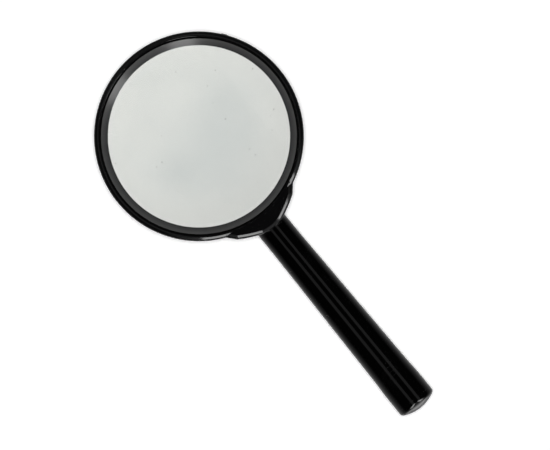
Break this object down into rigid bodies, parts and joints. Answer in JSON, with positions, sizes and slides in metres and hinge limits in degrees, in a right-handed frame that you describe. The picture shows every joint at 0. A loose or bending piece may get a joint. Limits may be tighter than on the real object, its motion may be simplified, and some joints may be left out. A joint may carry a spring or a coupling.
{
  "type": "magnifying glass",
  "caption": "Hand magnifying glass: clear biconvex lens in a round black frame with a bevelled retaining ring, on a tapered round screw-on handle with a domed end plug.",
  "frame": {"origin": "under the middle of the whole object, on the plane that the widest part of the handle's end stands on", "axes": "+Z along the lens axis, towards the side of the retaining ring; +Y from the handle towards the lens; the handle's centre line is parallel to Y and passes through the lens's centre"},
  "size_m": [0.084, 0.1824, 0.0164],
  "materials": {
    "frame_plastic": "black, polished moulding",
    "lens_glass": "clear, polished, ground edge",
    "ring_plastic": "dark grey, smooth bevel",
    "stud_steel": "plain turned thread",
    "handle_plastic": "black, high gloss",
    "plug_plastic": "black, high gloss"
  },
  "bodies": {
    "frame": {"frame": "frame_plastic", "lens": "lens_glass", "handle_stud": "stud_steel"},
    "retaining_ring": {"retaining_ring": "ring_plastic"},
    "handle": {"handle": "handle_plastic"},
    "end_plug": {"end_plug": "plug_plastic"}
  },
  "joints": [
    {"name": "retaining_ring_out", "type": "slide", "parent": "frame", "child": "retaining_ring", "axis": [0, 0, 1], "range_m": [0, 0.008]},
    {"name": "handle_off", "type": "slide", "parent": "frame", "child": "handle", "axis": [0, -1, 0], "range_m": [0, 0.016]},
    {"name": "end_plug_out", "type": "slide", "parent": "handle", "child": "end_plug", "axis": [0, -1, 0], "range_m": [0, 0.012]}
  ]
}
